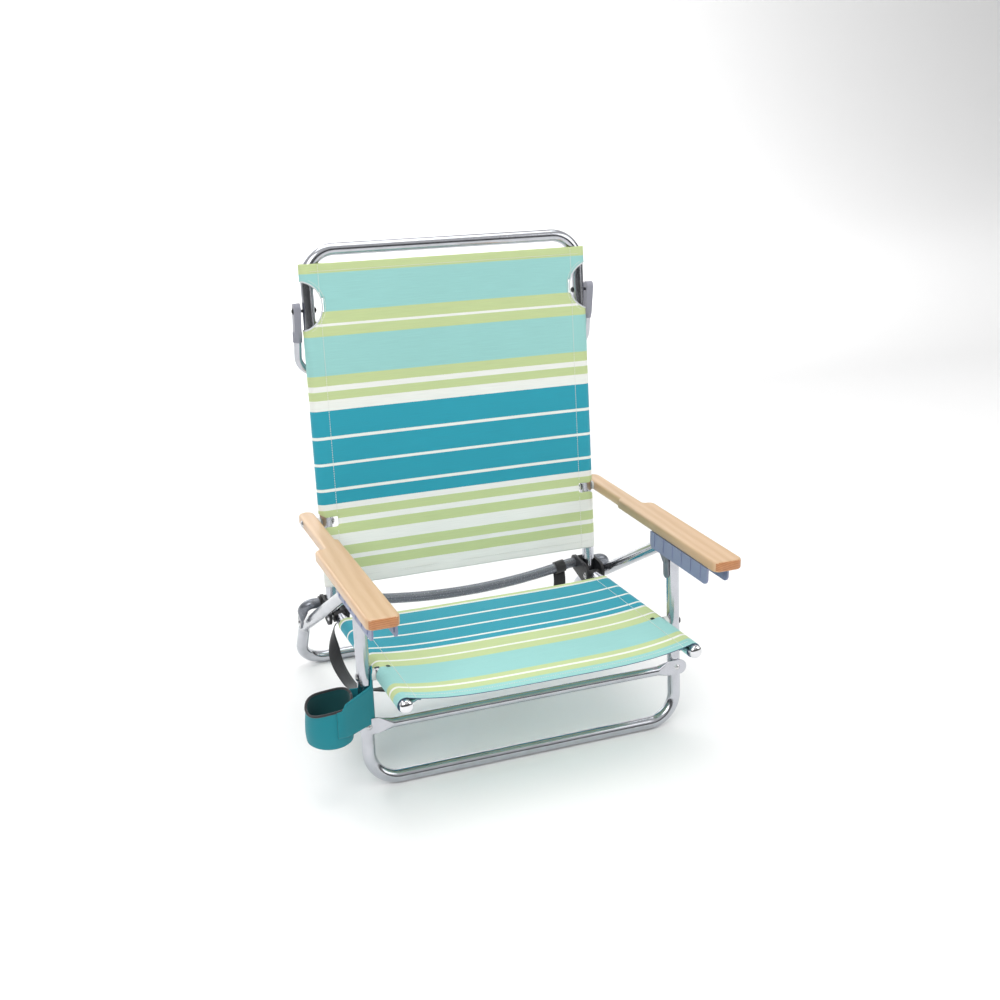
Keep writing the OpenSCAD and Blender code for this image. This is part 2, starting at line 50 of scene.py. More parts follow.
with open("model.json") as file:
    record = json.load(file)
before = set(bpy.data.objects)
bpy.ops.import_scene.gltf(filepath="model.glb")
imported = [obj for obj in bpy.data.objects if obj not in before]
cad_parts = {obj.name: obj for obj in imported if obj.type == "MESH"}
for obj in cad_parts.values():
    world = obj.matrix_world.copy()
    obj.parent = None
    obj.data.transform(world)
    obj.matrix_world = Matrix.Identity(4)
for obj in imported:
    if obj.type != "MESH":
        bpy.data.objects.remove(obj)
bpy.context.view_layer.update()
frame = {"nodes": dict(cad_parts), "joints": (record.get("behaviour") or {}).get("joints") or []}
NODES = frame["nodes"]
PIVOT = {j["name"]: Vector(j["pos_m"]) for j in frame["joints"]}

# The frame tubes that the soft pieces hang on, in metres
TUBE_R = 0.0127
RAIL_X = 0.287
RAIL_DROP = 0.04867
BACK_X = 0.291
BACK_LEAN = radians(8.1)
BACK_FOOT = Vector((0.0, 0.0532, 0.200))
LEG_X = 0.3216
LEG_LEAN = radians(6.57)
LEG_FOOT = Vector((0.0, -0.299, 0.0127))
BOARD_TILT = radians(1.55)


# ---------- shader maths ----------


def srgb(r, g, b):
    """A colour picked on screen, 0 to 255, as Blender's linear colour."""
    def one(c):
        c /= 255
        return c / 12.92 if c <= 0.04045 else ((c + 0.055) / 1.055) ** 2.4
    return (one(r), one(g), one(b), 1.0)


class Value:
    """One output socket. Sums and products written with it add Math nodes."""

    def __init__(self, shade, socket):
        self.shade, self.socket = shade, socket

    def math(self, operation, *values):
        return self.shade.node("ShaderNodeMath", {"operation": operation}, dict(enumerate(values)))

    def __add__(self, other):
        return self.math("ADD", self, other)

    def __sub__(self, other):
        return self.math("SUBTRACT", self, other)

    def __mul__(self, other):
        return self.math("MULTIPLY", self, other)

    def __truediv__(self, other):
        return self.math("DIVIDE", self, other)

    def __gt__(self, other):
        return self.math("GREATER_THAN", self, other)

    def __lt__(self, other):
        return self.math("LESS_THAN", self, other)

    def __rsub__(self, other):
        return self.math("SUBTRACT", other, self)

    __radd__ = __add__
    __rmul__ = __mul__

    def sine(self):
        return self.math("SINE", self)

    def absolute(self):
        return self.math("ABSOLUTE", self)

    def clamped(self):
        return self.math("MAXIMUM", self.math("MINIMUM", self, 1.0), 0.0)


class Shade:
    """A material under construction, around one Principled shader."""

    def __init__(self, name, **fixed):
        self.material = bpy.data.materials.new(name)
        self.material.use_nodes = True
        self.tree = self.material.node_tree
        self.tree.nodes.clear()
        output = self.tree.nodes.new("ShaderNodeOutputMaterial")
        self.shader = self.tree.nodes.new("ShaderNodeBsdfPrincipled")
        self.tree.links.new(self.shader.outputs[0], output.inputs[0])
        for socket, value in fixed.items():
            self.shader.inputs[socket.replace("_", " ")].default_value = value

    def node(self, kind, settings=None, sockets=None, output=0):
        """Adds any node: its settings first, then the values or links of its sockets."""
        made = self.tree.nodes.new(kind)
        for key, value in (settings or {}).items():
            if key == "stops":
                ramp = made.color_ramp.elements
                while len(ramp) < len(value):
                    ramp.new(0.5)
                for element, (place, colour) in zip(ramp, value):
                    element.position, element.color = place, colour
            else:
                setattr(made, key, value)
        for key, value in (sockets or {}).items():
            self.feed(made.inputs[key], value)
        return Value(self, made.outputs[output])

    def feed(self, socket, value):
        if isinstance(value, Value):
            self.tree.links.new(value.socket, socket)
        else:
            socket.default_value = value

    def mix(self, share, a, b):
        return self.node("ShaderNodeMix", {"data_type": "RGBA"}, {0: share, 6: a, 7: b}, 2)

    def place(self):
        """Object coordinates, the same as the row frame on every piece."""
        return self.node("ShaderNodeTexCoord", None, None, 3)

    def uv(self):
        return self.node("ShaderNodeTexCoord", None, None, 2)

    def axes(self, vector):
        split = self.tree.nodes.new("ShaderNodeSeparateXYZ")
        self.feed(split.inputs[0], vector)
        return [Value(self, o) for o in split.outputs]

    def stretch(self, vector, scale):
        return self.node("ShaderNodeMapping", None, {"Vector": vector, "Scale": scale})

    def noise(self, vector, scale, detail=3.0, roughness=0.55):
        return self.node("ShaderNodeTexNoise", None,
                         {"Vector": vector, "Scale": scale, "Detail": detail, "Roughness": roughness})

    def ramp(self, value, *stops):
        return self.node("ShaderNodeValToRGB", {"stops": stops}, {0: value})

    def bump(self, height, strength, distance):
        bump = self.node("ShaderNodeBump", None, {"Height": height, "Strength": strength, "Distance": distance})
        self.feed(self.shader.inputs["Normal"], bump)

    def set(self, socket, value):
        self.feed(self.shader.inputs[socket], value)


def grey(v):
    return (v, v, v, 1.0)


def tube_finish(name, colour, rough=0.16):
    """Bare bent tube: bright metal with soft handling marks and fine draw lines."""
    s = Shade(name, Metallic=1.0)
    place = s.place()
    cloud = s.noise(place, 38.0, 4.0)
    lines = s.noise(s.stretch(place, (2.0, 260.0, 260.0)), 3.0, 2.0)
    s.set("Base Color", s.mix(s.ramp(cloud, (0.35, grey(0)), (0.75, grey(1))), colour,
                              tuple(c * 0.86 for c in colour[:3]) + (1.0,)))
    s.set("Roughness", cloud * 0.14 + lines * 0.06 + rough - 0.08)
    s.bump(lines, 0.05, 0.0004)
    return s.material


def plastic_finish(name, colour, rough=0.42, grain=900.0):
    """Moulded plastic: fine spark-eroded grain and a faint mottled tone."""
    s = Shade(name, Specular_IOR_Level=0.45)
    place = s.place()
    grains = s.noise(place, grain, 2.0)
    cloud = s.noise(place, 24.0, 3.0)
    darker = tuple(c * 0.8 for c in colour[:3]) + (1.0,)
    s.set("Base Color", s.mix(cloud, darker, colour))
    s.set("Roughness", grains * 0.12 + rough - 0.06)
    s.bump(grains, 0.22, 0.0003)
    return s.material


def painted_finish(name, colour, rough=0.3):
    """Powder-coated steel: a slight orange-peel skin with rubbed, brighter spots."""
    s = Shade(name, Metallic=0.55, Coat_Weight=0.25, Coat_Roughness=0.2)
    place = s.place()
    peel = s.noise(place, 420.0, 2.0)
    rub = s.ramp(s.noise(place, 30.0, 4.0), (0.55, grey(0)), (0.8, grey(1)))
    lighter = tuple(min(1.0, c * 1.5 + 0.02) for c in colour[:3]) + (1.0,)
    s.set("Base Color", s.mix(rub * 0.45, colour, lighter))
    s.set("Roughness", peel * 0.1 + rough - 0.05)
    s.bump(peel, 0.12, 0.0004)
    return s.material


def webbing_finish(name, colour):
    """Woven tape: ribs across it, along its own UV map in metres."""
    s = Shade(name, Roughness=0.85, Sheen_Weight=0.3)
    u, v, _ = s.axes(s.uv())
    ribs = (v * (2 * pi / 0.0022)).sine() * 0.5 + 0.5
    cords = (u * (2 * pi / 0.0030)).sine() * 0.5 + 0.5
    lighter = tuple(c * 2.6 + 0.01 for c in colour[:3]) + (1.0,)
    s.set("Base Color", s.mix(ribs * cords * 0.6 + s.noise(s.uv(), 160.0) * 0.3, colour, lighter))
    s.bump(ribs * cords, 0.5, 0.0006)
    return s.material


def wood_finish(name, light, dark, end_grain=False):
    """Varnished hardwood board, its grain along Y, or its cut end with close rings."""
    s = Shade(name, Coat_Weight=0.3, Coat_Roughness=0.25)
    place = s.place()
    bend = s.noise(s.stretch(place, (1.0, 0.35, 1.0)), 5.0, 2.0)
    if end_grain:
        x, _, z = s.axes(place)
        wave = ((x * 0.35 + z + bend * 0.02) * (2 * pi / 0.0034)).sine() * 0.5 + 0.5
        pores = s.noise(place, 1400.0, 2.0)
    else:
        x, _, z = s.axes(place)
        wave = ((x + z * 0.6 + bend * 0.055) * (2 * pi / 0.021)).sine() * 0.5 + 0.5
        pores = s.noise(s.stretch(place, (900.0, 26.0, 900.0)), 1.0, 3.0)
    streak = s.noise(s.stretch(place, (60.0, 2.2, 60.0)), 1.0, 4.0, 0.6)
    tone = (wave * 0.28 + streak * 0.55 + pores * 0.25).clamped()
    s.set("Base Color", s.mix(s.ramp(tone, (0.25, grey(0)), (0.8, grey(1))), light, dark))
    s.set("Roughness", pores * 0.16 + 0.34)
    s.bump(pores * 0.6 + wave * 0.2, 0.12, 0.0005)
    return s.material


def cloth_finish(name, first, bands=(), weave=0.0016):
    """Woven sling cloth. Its stripes follow V, in metres from the hem; bands are (start, colour)."""
    s = Shade(name, Sheen_Weight=0.12, Sheen_Roughness=0.5)
    uv = s.uv()
    u, v, _ = s.axes(uv)
    yarn = s.noise(s.stretch(uv, (18.0, 900.0, 1.0)), 1.0, 3.0)
    ragged = v + (s.noise(s.stretch(uv, (900.0, 40.0, 1.0)), 1.0, 2.0) - 0.5) * 0.0012
    colour = first
    for start, band in bands:
        edge = ((ragged - start) * 2500.0 + 0.5).clamped()
        colour = s.mix(edge, colour, band)
    fade = s.noise(s.stretch(uv, (3.0, 5.0, 1.0)), 1.0, 3.0)
    shaded = s.node("ShaderNodeMix", {"data_type": "RGBA", "blend_type": "MULTIPLY"},
                    {0: 1.0, 6: colour, 7: s.ramp(yarn * 0.7 + fade * 0.3, (0.25, grey(0.86)), (0.7, grey(1.0)))}, 2)
    over = (u * (2 * pi / weave)).sine()
    under = (v * (2 * pi / weave)).sine()
    s.set("Base Color", shaded)
    s.set("Roughness", yarn * 0.2 + 0.68)
    s.bump(over * under * 0.5 + yarn * 0.6, 0.25, 0.0004)
    return s.material


# ---------- mesh helpers ----------


def new_object(name, mesh, *materials):
    made = bpy.data.objects.new(name, mesh)
    bpy.context.scene.collection.objects.link(made)
    for material in materials:
        mesh.materials.append(material)
    return made


def grid_mesh(name, rows, uvs, closed=False):
    """A quad mesh over rows of points, with a UV for each point. Closed joins the last row to the first."""
    mesh = bpy.data.meshes.new(name)
    n = len(rows[0])
    verts = [p for row in rows for p in row]
    flat_uv = [q for row in uvs for q in row]
    faces, corner_uv = [], []
    m = len(rows)
    for i in range(m if closed else m - 1):
        j = (i + 1) % m
        for k in range(n - 1):
            quad = (i * n + k, i * n + k + 1, j * n + k + 1, j * n + k)
            faces.append(quad)
            corner_uv += [flat_uv[c] for c in quad]
    mesh.from_pydata(verts, [], faces)
    layer = mesh.uv_layers.new(name="UVMap")
    layer.data.foreach_set("uv", [c for q in corner_uv for c in q])
    mesh.polygons.foreach_set("use_smooth", [True] * len(faces))
    mesh.update()
    return mesh


def baked(obj):
    """Applies every modifier of obj and keeps the plain mesh."""
    bpy.context.view_layer.update()
    depsgraph = bpy.context.evaluated_depsgraph_get()
    mesh = bpy.data.meshes.new_from_object(obj.evaluated_get(depsgraph), depsgraph=depsgraph)
    obj.modifiers.clear()
    old, obj.data = obj.data, mesh
    mesh.name = old.name
    bpy.data.meshes.remove(old)
    return obj


def thicken(obj, thickness, offset=0.0):
    wall = obj.modifiers.new("Wall", "SOLIDIFY")
    wall.thickness, wall.offset = thickness, offset
    return obj


def smooth_path(points, count):
    """Points evenly spaced along a smooth curve through the given ones (centripetal spline)."""
    pts = [Vector(p) for p in points]
    ends = [2 * pts[0] - pts[1]] + pts + [2 * pts[-1] - pts[-2]]
    dense = []
    for i in range(1, len(ends) - 2):
        p0, p1, p2, p3 = ends[i - 1 : i + 3]
        t0 = 0.0
        t1 = t0 + (p1 - p0).length ** 0.5
        t2 = t1 + (p2 - p1).length ** 0.5
        t3 = t2 + (p3 - p2).length ** 0.5
        for k in range(40):
            t = t1 + (t2 - t1) * k / 40
            a1 = p0.lerp(p1, (t - t0) / (t1 - t0))
            a2 = p1.lerp(p2, (t - t1) / (t2 - t1))
            a3 = p2.lerp(p3, (t - t2) / (t3 - t2))
            b1 = a1.lerp(a2, (t - t0) / (t2 - t0))
            b2 = a2.lerp(a3, (t - t1) / (t3 - t1))
            dense.append(b1.lerp(b2, (t - t1) / (t2 - t1)))
    dense.append(pts[-1])
    steps = [0.0]
    for a, b in zip(dense, dense[1:]):
        steps.append(steps[-1] + (b - a).length)
    out, k = [], 0
    for i in range(count):
        want = steps[-1] * i / (count - 1)
        while k < len(steps) - 2 and steps[k + 1] < want:
            k += 1
        share = (want - steps[k]) / max(steps[k + 1] - steps[k], 1e-9)
        out.append(dense[k].lerp(dense[k + 1], min(share, 1.0)))
    return out


def bead_mesh(name, path, radius, sides=10):
    """A round bead or cord along a path, closed at both ends."""
    bm = bmesh.new()
    rings = []
    side = None
    for i, p in enumerate(path):
        ahead = (path[min(i + 1, len(path) - 1)] - path[max(i - 1, 0)]).normalized()
        if side is None:
            side = ahead.orthogonal().normalized()
        side = (side - ahead * side.dot(ahead)).normalized()
        up = ahead.cross(side)
        rings.append([bm.verts.new(p + radius * (cos(a) * side + sin(a) * up))
                      for a in (2 * pi * k / sides for k in range(sides))])
    for a, b in zip(rings, rings[1:]):
        for k in range(sides):
            bm.faces.new((a[k], a[(k + 1) % sides], b[(k + 1) % sides], b[k])).smooth = True
    bm.faces.new(list(reversed(rings[0])))
    bm.faces.new(rings[-1])
    bmesh.ops.recalc_face_normals(bm, faces=bm.faces)
    mesh = bpy.data.meshes.new(name)
    bm.to_mesh(mesh)
    bm.free()
    return mesh


def band_rows(path, widths, sides):
    """Rows for a flat band: across each path point from one edge to the other."""
    rows, uvs, run = [], [], 0.0
    for i, p in enumerate(path):
        if i:
            run += (p - path[i - 1]).length
        half = widths[i] / 2
        rows.append([p + sides[i] * (half * t) for t in (-1.0, -0.5, 0.0, 0.5, 1.0)])
        uvs.append([((t + 1) * half, run) for t in (-1.0, -0.5, 0.0, 0.5, 1.0)])
    return rows, uvs


def cloth_mesh(name, stations, profile, place, run_from, cuts):
    """A panel with its sleeves, row by row. profile(s) gives (across, out) along one row, place(x, s, out)
    a point. Each cut is (middle, half): half(x, out) is half the length that is left out of that column."""
    rows, uvs, states = [], [], []
    for s in stations:
        line = profile(s)
        runs = arc_lengths(line)
        row, uv, state = [], [], []
        for (x, out), run in zip(line, runs):
            at, inside = s, 0
            for middle, half in cuts:
                chord = half(x, out)
                if abs(s - middle) < chord:
                    inside = 2
                    for side in (-1, 1):
                        edge = middle + side * chord
                        if abs(s - edge) <= abs(stations[1] - stations[0]) * 1.0001:
                            at, inside = edge, 1
            row.append(place(x, at, out))
            uv.append((run, abs(at - run_from)))
            state.append(inside)
        rows.append(row)
        uvs.append(uv)
        states.append(state)
    n = len(rows[0])
    faces, corner_uv = [], []
    for i in range(len(rows) - 1):
        for k in range(n - 1):
            corners = ((i, k), (i, k + 1), (i + 1, k + 1), (i + 1, k))
            marks = [states[a][b] for a, b in corners]
            if 2 in marks or 0 not in marks:
                continue
            faces.append(tuple(a * n + b for a, b in corners))
            corner_uv += [uvs[a][b] for a, b in corners]
    mesh = bpy.data.meshes.new(name)
    mesh.from_pydata([p for row in rows for p in row], [], faces)
    mesh.uv_layers.new(name="UVMap").data.foreach_set("uv", [c for q in corner_uv for c in q])
    bm = bmesh.new()
    bm.from_mesh(mesh)
    loose = [v for v in bm.verts if not v.link_faces]
    bmesh.ops.delete(bm, geom=loose, context="VERTS")
    for face in bm.faces:
        face.smooth = True
    bm.to_mesh(mesh)
    bm.free()
    return mesh


# ---------- where the cloth runs ----------


def arc_lengths(profile):
    runs = [0.0]
    for (x0, y0), (x1, y1) in zip(profile, profile[1:]):
        runs.append(runs[-1] + hypot(x1 - x0, y1 - y0))
    return [r - runs[-1] / 2 for r in runs]


def rail_point(x, y, out):
    """A point on the seat: out is the height over the rails' axis line, square to it."""
    z = PIVOT["fold"].z + (PIVOT["fold"].y - y) * RAIL_DROP
    return Vector((x, y, z + out))


def back_point(x, h, out):
    """A point on the back: h along the uprights from their foot, out towards the sitter."""
    up = Vector((0.0, sin(BACK_LEAN), cos(BACK_LEAN)))
    front = Vector((0.0, -cos(BACK_LEAN), sin(BACK_LEAN)))
    return BACK_FOOT + Vector((x, 0.0, 0.0)) + up * h + front * out


def leg_point(h):
    """The left front leg's axis at the height h along it."""
    return LEG_FOOT + Vector((-LEG_X, h * sin(LEG_LEAN), h * cos(LEG_LEAN)))


# ---------- settings ----------


def colour_property(name, description, r, g, b):
    return FloatVectorProperty(name=name, description=description, default=srgb(r, g, b)[:3],
                               subtype="COLOR", size=3, min=0.0, max=1.0)


def length_property(name, description, default, low, high):
    return FloatProperty(name=name, description=description, default=default, min=low, max=high,
                         subtype="DISTANCE", unit="LENGTH", precision=4)


class FrameSettings(bpy.types.PropertyGroup):
    tube: colour_property("Tube", "Bare metal of the bent frame tubes", 196, 198, 204)
    bar: colour_property("Support bar", "Paint of the bar behind the back", 122, 126, 134)
    channel: colour_property("Armrest channel", "Plastic of the notched channels", 138, 147, 178)
    black: colour_property("Black plastic", "Hinge cheeks, plugs and collars", 38, 39, 42)


class SlingSettings(bpy.types.PropertyGroup):
    aqua: colour_property("Aqua", "Pale aqua stripes", 156, 212, 208)
    teal: colour_property("Teal", "Deep teal stripes", 34, 160, 182)
    green: colour_property("Green", "Soft green stripes", 200, 216, 156)
    white: colour_property("White", "White lines and the lower panel", 244, 246, 240)
    thickness: length_property("Thickness", "Thickness of the sling cloth", 0.0014, 0.0008, 0.002)
    seat_sag: length_property("Seat sag", "How far the seat hangs below its rails at the front", 0.020, 0.0, 0.04)
    back_sag: length_property("Back sag", "How far the back gives between its uprights", 0.004, 0.0, 0.02)
    stitch: length_property("Stitch pitch", "Distance from one stitch to the next", 0.0048, 0.003, 0.01)


class BoardSettings(bpy.types.PropertyGroup):
    light: colour_property("Light wood", "Pale figure of the boards", 216, 184, 148)
    dark: colour_property("Dark wood", "Dark figure of the boards", 200, 162, 122)
    round_over: length_property("Round-over", "Radius of the boards' eased edges", 0.0045, 0.001, 0.008)


class PouchSettings(bpy.types.PropertyGroup):
    cloth: colour_property("Pouch cloth", "Cup holder cloth", 0, 132, 145)
    radius: length_property("Pouch radius", "Outside radius of the cup holder", 0.0445, 0.04, 0.046)


class StrapSettings(bpy.types.PropertyGroup):
    width: length_property("Strap width", "Width of the carry strap", 0.026, 0.02, 0.04)
    thickness: length_property("Strap thickness", "Thickness of the carry strap", 0.0018, 0.001, 0.003)


class StageSettings(bpy.types.PropertyGroup):
    azimuth: FloatProperty(name="Azimuth", description="Camera's turn round the chair", default=radians(-21.7),
                           subtype="ANGLE", unit="ROTATION")
    elevation: FloatProperty(name="Elevation", description="Camera's height as an angle", default=radians(20.18),
                             subtype="ANGLE", unit="ROTATION")
    lens: FloatProperty(name="Lens", description="Focal length in millimetres", default=47.01, min=20.0, max=120.0)
    light: FloatProperty(name="Light", description="Brightness of the soft boxes", default=1.0, min=0.1, max=4.0)


GROUPS = {
    "beach_frame": FrameSettings,
    "beach_sling": SlingSettings,
    "beach_board": BoardSettings,
    "beach_pouch": PouchSettings,
    "beach_strap": StrapSettings,
    "beach_stage": StageSettings,
}


def rgba(colour):
    return tuple(colour) + (1.0,)


def finish_node(name, material):
    """Gives a frame piece its finish in place of the plain packed colour."""
    slots = NODES[name].data.materials
    slots.clear()
    slots.append(material)


# ---------- frame finishes ----------


class BEACH_OT_frame(bpy.types.Operator):
    """Gives every metal and plastic piece of the frame its finish"""

    bl_idname = "beach.frame"
    bl_label = "Frame finishes"

    def execute(self, context):
        wanted = context.scene.beach_frame
        tube = tube_finish("polished_tube", rgba(wanted.tube))
        rivet = tube_finish("rivet_metal", srgb(214, 214, 216), 0.24)
        black = plastic_finish("black_plastic", rgba(wanted.black), 0.45)
        white = plastic_finish("white_plastic", srgb(226, 227, 224), 0.4)
        plate = painted_finish("plate_grey", srgb(120, 124, 132), 0.35)
        finishes = {
            tube: ["seat_rails", "front_leg_frame", "front_crossbar", "rear_leg_frame", "back_frame", "towel_bar"],
            rivet: ["leg_pivot_rivets", "crossbar_rivets", "notch_pins", "scissor_pins", "hinge_pins",
                    "bar_end_rivets", "arm_pivot_bolts", "channel_screws_left", "channel_screws_right"],
            black: ["rail_hinge_plugs", "rear_leg_eyes", "hinge_plates", "bar_collars", "bar_saddles",
                    "upright_end_plugs", "towel_bar_pins"],
            white: ["leg_pivot_spacers", "arm_spacers"],
            plate: ["leg_top_plates", "plate_rivets"],
            tube_finish("chrome_cap", srgb(232, 232, 235), 0.08): ["rail_end_caps"],
            painted_finish("grey_bar", rgba(wanted.bar), 0.26): ["support_bar"],
            plastic_finish("channel_plastic", rgba(wanted.channel), 0.4): ["arm_channel_left", "arm_channel_right"],
            plastic_finish("clip_plastic", srgb(150, 151, 162), 0.42): ["towel_bar_clips"],
            webbing_finish("loop_webbing", srgb(28, 29, 31)): ["strap_keepers"],
        }
        for material, names in finishes.items():
            for name in names:
                finish_node(name, material)
        return {"FINISHED"}


# ---------- slings ----------

SEAT_FRONT, SEAT_REAR = -0.417, -0.0255
BACK_LOW = (0.2595 - BACK_FOOT.z) / cos(BACK_LEAN)
BACK_HIGH = (0.905 - BACK_FOOT.z) / cos(BACK_LEAN)
CORNER_START = (0.930 - BACK_FOOT.z) / cos(BACK_LEAN) - 0.058
SLEEVE_R = 0.0138
HANDLE = Vector((0.3154, 0.631))
HANDLE_R = 0.0494
SLOT_R = 0.017
PIVOT_HOLE_R = 0.0128


def seat_give(x, y, sag):
    along = (SEAT_REAR - y) / (SEAT_REAR - SEAT_FRONT)
    return (0.25 + 0.75 * along) * sag * (1 - (abs(x) / 0.2846) ** 4)


def seat_lift(x, y, sag):
    return SLEEVE_R - seat_give(x, y, sag)


def back_lift(x, h, sag):
    middle = (h - BACK_LOW) * (BACK_HIGH - h) / (0.25 * (BACK_HIGH - BACK_LOW) ** 2)
    ripple = 0.0011 * sin(x * 46.0 + h * 9.0) * max(0.0, 1 - (h - BACK_LOW) / 0.12)
    return SLEEVE_R - sag * (0.35 + 0.65 * middle) * (1 - (abs(x) / 0.2886) ** 4) + ripple * (1 - (abs(x) / 0.2886) ** 2)


def sling_profile(tube_x, reach, lift, seam):
    """Across one row: seam, round the tube, over the panel, round the other tube, seam.
    reach is how far the sleeve goes out and in from tube_x, lift the panel's height, seam the tuck."""
    outer, inner = reach
    centre = tube_x + (outer - inner) / 2
    wide = (outer + inner) / 2
    start, turn = radians(96), radians(286)
    edge = centre + wide * cos(start) - 0.0012
    half = [(edge * sin(0.5 * pi * i / 30), None) for i in range(30)]
    points = [(x, lift(x)) for x, _ in half]
    for i in range(25):
        a = start - turn * i / 24
        points.append((centre + wide * cos(a), SLEEVE_R * sin(a)))
    for x in (tube_x - inner - 0.004, tube_x - inner - 0.009, tube_x - inner - seam):
        points.append((x, lift(x) - (0.0065 if x > tube_x - inner - 0.006 else 0.0024)))
    return [(-x, y) for x, y in reversed(points[1:])] + points


class BEACH_OT_seat_sling(bpy.types.Operator):
    """Makes the striped seat, its sleeves round the two rails and a little sag between them"""

    bl_idname = "beach.seat_sling"
    bl_label = "Seat sling"

    def execute(self, context):
        w = context.scene.beach_sling
        aqua, teal, green, white = (rgba(c) for c in (w.aqua, w.teal, w.green, w.white))
        bands = [(0.009, white), (0.015, teal), (0.0630, white), (0.0690, teal), (0.1110, white), (0.1170, teal),
                 (0.1600, white), (0.1660, teal), (0.1840, white), (0.1910, green), (0.2230, white),
                 (0.2290, green), (0.2520, aqua), (0.3290, green), (0.3435, white), (0.3500, green),
                 (0.3670, aqua)]
        cloth = cloth_finish("seat_cloth", green, bands)
        binding = webbing_finish("seat_tape", srgb(40, 62, 96))
        stations = [SEAT_FRONT + (SEAT_REAR - SEAT_FRONT) * i / 130 for i in range(131)]

        def row(y):
            return sling_profile(RAIL_X, (SLEEVE_R, SLEEVE_R), lambda x: seat_lift(x, y, w.seat_sag), 0.016)

        def pivot_hole(x, out):
            clear = 0.0045 < abs(abs(x) - RAIL_X) < 0.0165 and abs(out) < PIVOT_HOLE_R
            return sqrt(PIVOT_HOLE_R ** 2 - out ** 2) if clear else 0.0

        mesh = cloth_mesh("seat_sling", stations, row, rail_point, SEAT_REAR, [(PIVOT["leg_fold"].y, pivot_hole)])
        sling = new_object("seat_sling", mesh, cloth, binding)
        thicken(sling, w.thickness)
        sling.modifiers["Wall"].material_offset_rim = 1
        baked(sling)
        runs = arc_lengths(row(SEAT_FRONT))
        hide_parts("seat_fabric")
        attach(sling, "seat")
        return {"FINISHED"}


class BEACH_OT_back_sling(bpy.types.Operator):
    """Makes the striped back, its sleeves round the uprights, the hand holes and the armrest slots"""

    bl_idname = "beach.back_sling"
    bl_label = "Back sling"

    def execute(self, context):
        w = context.scene.beach_sling
        aqua, teal, green, white = (rgba(c) for c in (w.aqua, w.teal, w.green, w.white))
        ends = [(0.886, aqua), (0.8120, green), (0.7885, white), (0.7835, green), (0.7640, aqua), (0.6870, green),
                (0.6670, white), (0.6560, green), (0.6390, white), (0.6180, teal), (0.5665, white),
                (0.5605, teal), (0.5130, white), (0.5075, teal), (0.4615, white), (0.4555, teal), (0.4300, white),
                (0.4180, green), (0.4000, white), (0.3880, green), (0.3670, white), (0.3420, green),
                (0.3220, white), (0.3125, green), (0.2920, white)]
        bands = [((0.905 - z) / cos(BACK_LEAN), colour) for z, colour in ends]
        cloth = cloth_finish("back_cloth", green, bands)
        tape = cloth_finish("handle_tape", srgb(214, 218, 220), (), 0.0012)
        arm_h = (PIVOT["arm_level"].z - BACK_FOOT.z) / cos(BACK_LEAN)
        stations = [BACK_LOW + (BACK_HIGH - BACK_LOW) * i / 210 for i in range(211)]

        def row(h):
            over = max(0.0, h - CORNER_START)
            inward = 0.058 - sqrt(0.058 ** 2 - over ** 2)
            return sling_profile(BACK_X, (SLEEVE_R, SLEEVE_R + inward), lambda x: back_lift(x, h, w.back_sag), 0.016)

        def hand_hole(x, out):
            return sqrt(max(0.0, HANDLE_R ** 2 - (HANDLE.x - abs(x)) ** 2))

        def arm_slot(x, out):
            clear = abs(x) > BACK_X - 0.018 and abs(out) < SLOT_R
            return sqrt(SLOT_R ** 2 - out ** 2) if clear else 0.0

        mesh = cloth_mesh("back_sling", stations, row, back_point, BACK_HIGH,
                          [(HANDLE.y, hand_hole), (arm_h, arm_slot)])
        sling = new_object("back_sling", mesh, cloth, tape)
        thicken(sling, w.thickness)
        sling.modifiers["Wall"].material_offset_rim = 1
        baked(sling)
        runs = arc_lengths(row(BACK_LOW))
        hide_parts("back_fabric")
        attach(sling, "back")
        self.bind_handles(w, tape)
        return {"FINISHED"}

    def bind_handles(self, w, tape):
        """A rolled tape round the front of each hand hole."""
        half = acos((HANDLE.x - 0.3035) / HANDLE_R)
        beads = []
        for s in (-1, 1):
            for side in (1, -1):
                path = []
                for k in range(49):
                    a = pi - half + 2 * half * k / 48
                    x = HANDLE.x + HANDLE_R * cos(a)
                    h = HANDLE.y + HANDLE_R * sin(a)
                    if side < 0 and x < BACK_X - 0.0125:
                        continue
                    if x < BACK_X:
                        out = back_lift(x, h, w.back_sag) if side > 0 else -sqrt(
                            max(0.0, SLEEVE_R ** 2 - (BACK_X - x) ** 2))
                    else:
                        out = side * sqrt(max(0.0, SLEEVE_R ** 2 - (x - BACK_X) ** 2))
                    path.append(back_point(s * x, h, out))
                runs = [path] if side > 0 else [path[: len(path) // 2], path[len(path) // 2:]]
                for run in runs:
                    beads.append(bead_mesh("handle_tape", run, 0.0017, 12))
        bead = join_meshes("handle_binding", beads, tape)
        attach(bead, "back")


def join_meshes(name, meshes, *materials):
    bm = bmesh.new()
    for mesh in meshes:
        bm.from_mesh(mesh)
        bpy.data.meshes.remove(mesh)
    mesh = bpy.data.meshes.new(name)
    bm.to_mesh(mesh)
    bm.free()
    return new_object(name, mesh, *materials)


# ---------- stitching ----------


